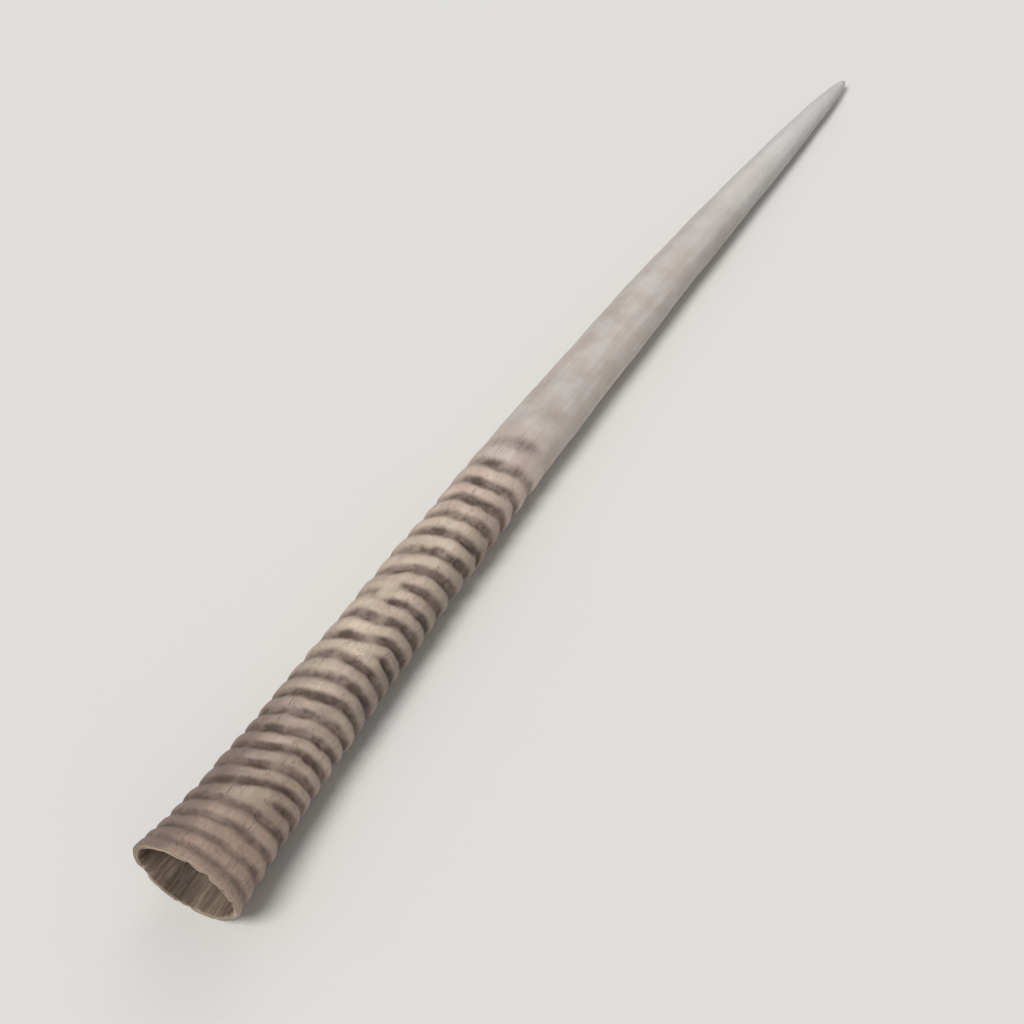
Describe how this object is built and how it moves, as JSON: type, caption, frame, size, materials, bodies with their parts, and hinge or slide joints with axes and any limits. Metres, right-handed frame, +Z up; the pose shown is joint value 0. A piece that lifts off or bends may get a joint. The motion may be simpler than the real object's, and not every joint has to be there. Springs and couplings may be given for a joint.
{
  "type": "gemsbok horn",
  "caption": "Slender hollow antelope horn, ringed over its lower half and smooth above, slightly curved, lying on its side with its open base at one end.",
  "frame": {"origin": "middle of the bounding box in X and Y, on the surface that the horn lies on", "axes": "+X from the open base towards the tip, +Y towards the front of the horn (the outside of its curve), +Z up, with the horn's outer side up and its inner side on the surface"},
  "size_m": [0.6988, 0.067, 0.0512],
  "materials": {
    "horn_keratin": "satin horn keratin: pale grey-brown worn ridges with dark brown grooves, smoother pale grey towards the tip"
  },
  "bodies": {
    "root": {"horn": "horn_keratin"}
  },
  "joints": []
}
